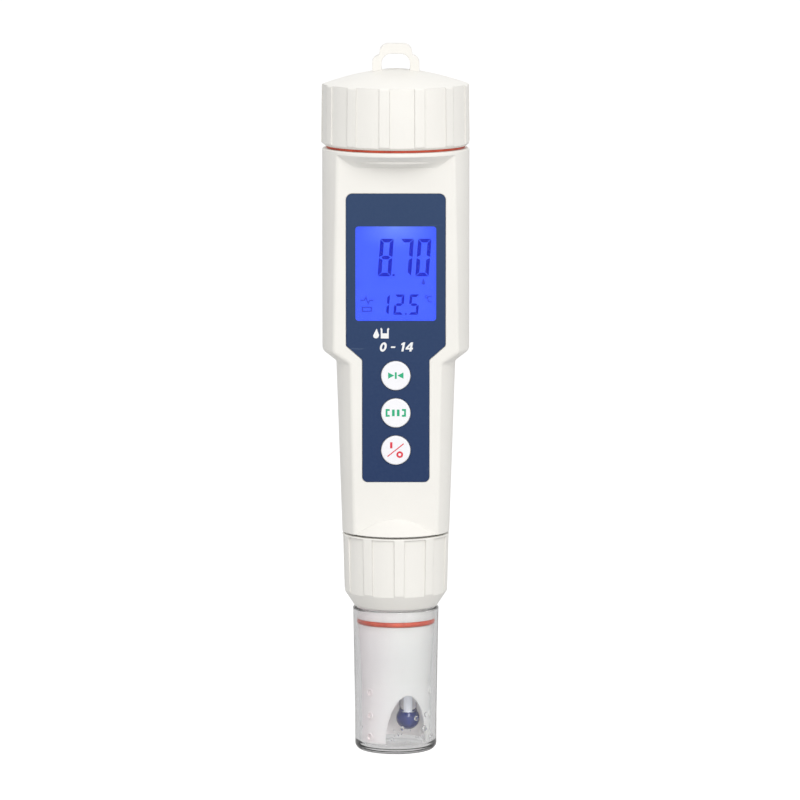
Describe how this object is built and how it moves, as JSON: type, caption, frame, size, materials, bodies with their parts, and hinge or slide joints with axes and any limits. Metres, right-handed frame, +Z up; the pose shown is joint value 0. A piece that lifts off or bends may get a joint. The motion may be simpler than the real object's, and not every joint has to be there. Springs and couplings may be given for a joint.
{
  "type": "ph test pen",
  "caption": "Pocket pH tester pen with a backlit display, front keys, a screw-off battery cap, a plug-in glass electrode held by a collar, and a clear storage cap.",
  "frame": {"origin": "centre of the flat face under the clear storage cap that the pen stands on", "axes": "+Z up the pen's long axis to the lanyard eye, -Y towards the display and keys, +X to the right of the display"},
  "size_m": [0.0378, 0.0379, 0.1818],
  "materials": {
    "white_shell": "warm white moulded ABS, satin gloss",
    "overlay": "navy printed film, low gloss",
    "window": "clear acrylic lens",
    "lcd": "blue backlit display glass",
    "black_plastic": "black moulded plastic",
    "grey_plastic": "grey moulded plastic",
    "light_guide": "frosted acrylic light guide",
    "led": "light-emitting diodes",
    "elastomer": "layered silicone connector",
    "circuit_board": "green solder mask",
    "switch_metal": "switch cover",
    "chip": "moulded chip package",
    "chip_ceramic": "chip capacitor ceramic",
    "screw": "zinc plated",
    "cell": "nickel plated cell can",
    "nickel": "nickel plated spring metal",
    "gold_contact": "gold flashed brass",
    "key": "white key cap, satin",
    "red_seal": "red silicone",
    "electrode_white": "pale grey moulded plastic",
    "potting": "dark sealing compound",
    "sensor_glass": "thin pH glass",
    "electrolyte": "blue inner solution",
    "silver": "chlorided silver",
    "probe_steel": "stainless steel tube",
    "junction": "porous ceramic",
    "clear_cup": "clear polycarbonate"
  },
  "bodies": {
    "housing": {"housing_shell": "white_shell", "front_overlay": "overlay", "display_window": "window", "battery_cap_seal": "red_seal", "lcd_panel": "lcd", "lcd_frame": "black_plastic", "backlight_guide": "light_guide", "backlight_leds": "led", "elastomer_connector": "elastomer", "main_board": "circuit_board", "tact_switches": "switch_metal", "microcontroller": "chip", "amplifier_chip": "chip", "chip_capacitors": "chip_ceramic", "inner_chassis": "grey_plastic", "board_screws": "screw", "battery_holder": "black_plastic", "button_cells": "cell", "battery_spring": "nickel", "ring_contact": "nickel", "contact_strips": "nickel", "electrode_socket": "black_plastic", "socket_contacts": "gold_contact"},
    "calibrate_key": {"calibrate_key": "key"},
    "hold_key": {"hold_key": "key"},
    "power_key": {"power_key": "key"},
    "cap_contact": {"cap_contact": "nickel"},
    "battery_cap": {"battery_cap": "white_shell"},
    "electrode": {"electrode_body": "electrode_white", "sensor_potting": "potting", "glass_stem": "sensor_glass", "glass_bulb": "sensor_glass", "bulb_electrolyte": "electrolyte", "silver_wire": "silver", "temperature_probe": "probe_steel", "reference_junction": "junction", "reference_wire": "silver", "electrode_plug": "black_plastic", "plug_pins": "gold_contact", "plug_seal": "red_seal", "probe_seal": "red_seal"},
    "collar": {"collar": "white_shell"},
    "storage_cap": {"storage_cap": "clear_cup"}
  },
  "joints": [
    {"name": "battery_cap_lift", "type": "slide", "parent": "housing", "child": "cap_contact", "axis": [0, 0, 1], "range_m": [0, 0.0045]},
    {"name": "battery_cap_turn", "type": "hinge", "parent": "cap_contact", "child": "battery_cap", "pos_m": [0, 0, 0.163], "axis": [0, 0, 1], "range_deg": [0, 540]},
    {"name": "electrode_slide", "type": "slide", "parent": "housing", "child": "electrode", "axis": [0, 0, -1], "range_m": [0, 0.0075]},
    {"name": "collar_turn", "type": "hinge", "parent": "electrode", "child": "collar", "pos_m": [0, 0, 0.048], "axis": [0, 0, -1], "range_deg": [0, 900]},
    {"name": "storage_cap_pull", "type": "slide", "parent": "electrode", "child": "storage_cap", "axis": [0, 0, -1], "range_m": [0, 0.036]},
    {"name": "calibrate_key_press", "type": "slide", "parent": "housing", "child": "calibrate_key", "axis": [0, 0.9996, 0.0284], "range_m": [0, 0.00035], "stiffness_N_per_m": 3000},
    {"name": "hold_key_press", "type": "slide", "parent": "housing", "child": "hold_key", "axis": [0, 0.9996, 0.0284], "range_m": [0, 0.00035], "stiffness_N_per_m": 3000},
    {"name": "power_key_press", "type": "slide", "parent": "housing", "child": "power_key", "axis": [0, 0.9996, 0.0284], "range_m": [0, 0.00035], "stiffness_N_per_m": 3000}
  ],
  "couplings": [
    {"joint": "battery_cap_lift", "follows": "battery_cap_turn", "m_per_rad": 0.00047746},
    {"joint": "electrode_slide", "follows": "collar_turn", "m_per_rad": 0.00047746}
  ]
}
